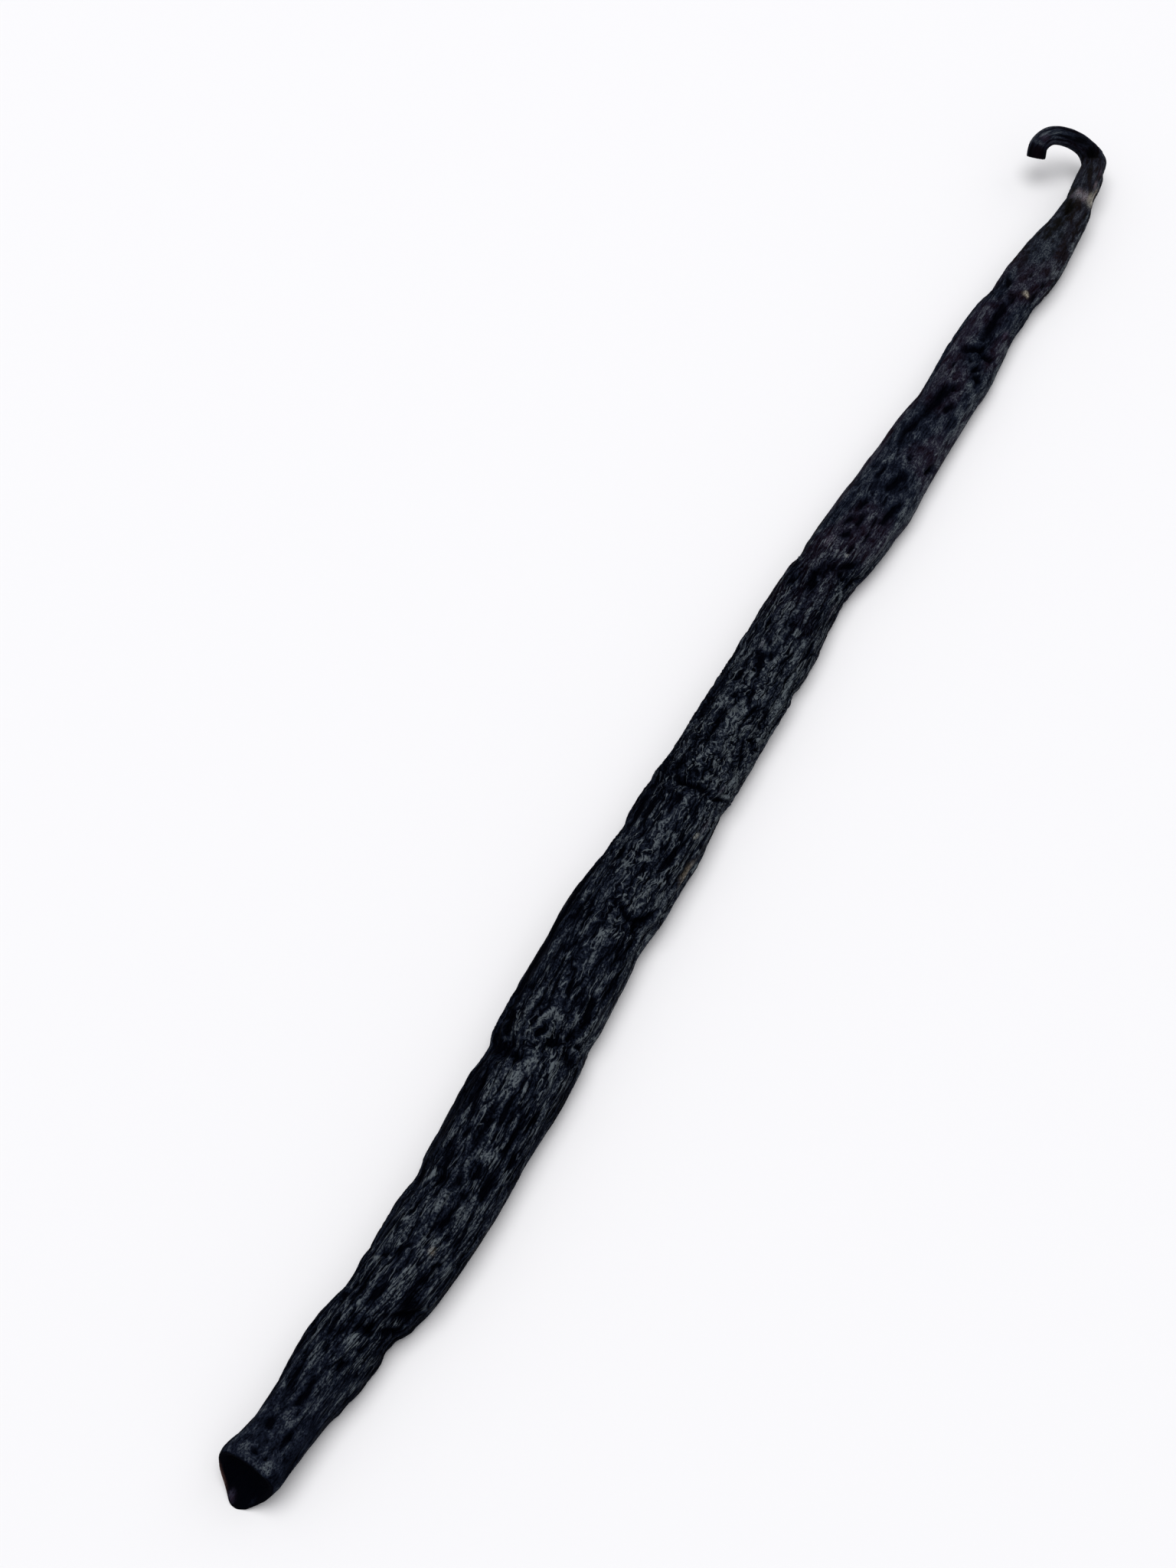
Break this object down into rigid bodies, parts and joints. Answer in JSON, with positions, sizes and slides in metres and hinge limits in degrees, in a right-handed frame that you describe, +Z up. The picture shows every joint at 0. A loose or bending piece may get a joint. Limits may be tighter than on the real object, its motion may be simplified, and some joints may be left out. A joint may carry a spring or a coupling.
{
  "type": "vanilla pod",
  "caption": "Whole cured vanilla pod, flattened, furrowed and pinched, blunt at the blossom end and drawn out into a thin hooked stem.",
  "frame": {"origin": "centre of the bounding box in plan, on the surface that the pod lies on", "axes": "+X along the pod from the blossom end to the stem, +Y to the side that the stem hooks over to, +Z up"},
  "size_m": [0.174, 0.014, 0.0062],
  "materials": {
    "pod_skin": "near-black, oily satin sheen over fine lengthwise wrinkles"
  },
  "bodies": {
    "root": {"pod": "pod_skin"}
  },
  "joints": []
}
